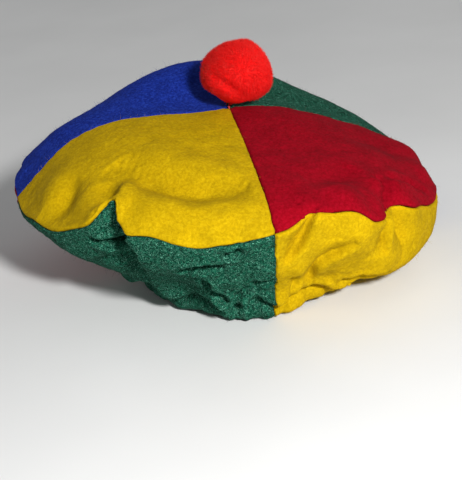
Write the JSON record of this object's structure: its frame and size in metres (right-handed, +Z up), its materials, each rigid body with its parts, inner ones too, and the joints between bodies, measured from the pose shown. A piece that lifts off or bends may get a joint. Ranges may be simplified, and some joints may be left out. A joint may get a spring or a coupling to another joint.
{
  "type": "beret",
  "caption": "Floppy round felt beret with a quartered multicolour crown, contrasting underside panels, a gathered elastic hem and a fluffy pompom.",
  "frame": {"origin": "middle of the head opening, on the plane that the hem stands on", "axes": "+Z up through the crown, -Y the front, +X the wearer's left"},
  "size_m": [0.2902, 0.2901, 0.1557],
  "materials": {
    "felt_yellow": "matte",
    "felt_crimson": "matte",
    "felt_blue": "matte",
    "felt_green": "matte",
    "pompom_pile": "matte",
    "pompom_thread": "matte",
    "sewing_thread": "matte",
    "elastic_webbing": "matte"
  },
  "bodies": {
    "hat": {"crown_panel_front_left": "felt_crimson", "underside_panel_front_left": "felt_yellow", "crown_panel_back_left": "felt_green", "underside_panel_back_left": "felt_blue", "crown_panel_back_right": "felt_blue", "underside_panel_back_right": "felt_crimson", "crown_panel_front_right": "felt_yellow", "underside_panel_front_right": "felt_green", "crown_seam_thread_front": "sewing_thread", "underside_seam_thread_front": "sewing_thread", "crown_seam_thread_left": "sewing_thread", "underside_seam_thread_left": "sewing_thread", "crown_seam_thread_back": "sewing_thread", "underside_seam_thread_back": "sewing_thread", "crown_seam_thread_right": "sewing_thread", "underside_seam_thread_right": "sewing_thread", "rim_seam_thread": "sewing_thread", "hem_casing_stitch": "sewing_thread", "hem_elastic": "elastic_webbing", "elastic_join_stitch": "sewing_thread", "pompom_anchor_knot": "pompom_thread"},
    "pompom_neck": {"pompom_thread_shank": "pompom_thread"},
    "pompom_tie": {"pompom_tie_thread": "pompom_thread"},
    "pompom": {"pompom_ball": "pompom_pile"}
  },
  "joints": [
    {"name": "pompom_nod", "type": "hinge", "parent": "hat", "child": "pompom_neck", "pos_m": [0, 0.0168, 0.1063], "axis": [1, 0, 0], "range_deg": [-14, 14], "stiffness_Nm_per_rad": 0.05},
    {"name": "pompom_sway", "type": "hinge", "parent": "pompom_neck", "child": "pompom_tie", "pos_m": [0, 0.0168, 0.1063], "axis": [0, 1, 0], "range_deg": [-26, 6], "stiffness_Nm_per_rad": 0.05, "springref_deg": -1.83},
    {"name": "pompom_twist", "type": "hinge", "parent": "pompom_tie", "child": "pompom", "pos_m": [0, 0.0168, 0.1063], "axis": [0.284, 0, 0.9588], "range_deg": [-45, 45], "stiffness_Nm_per_rad": 0.01}
  ]
}
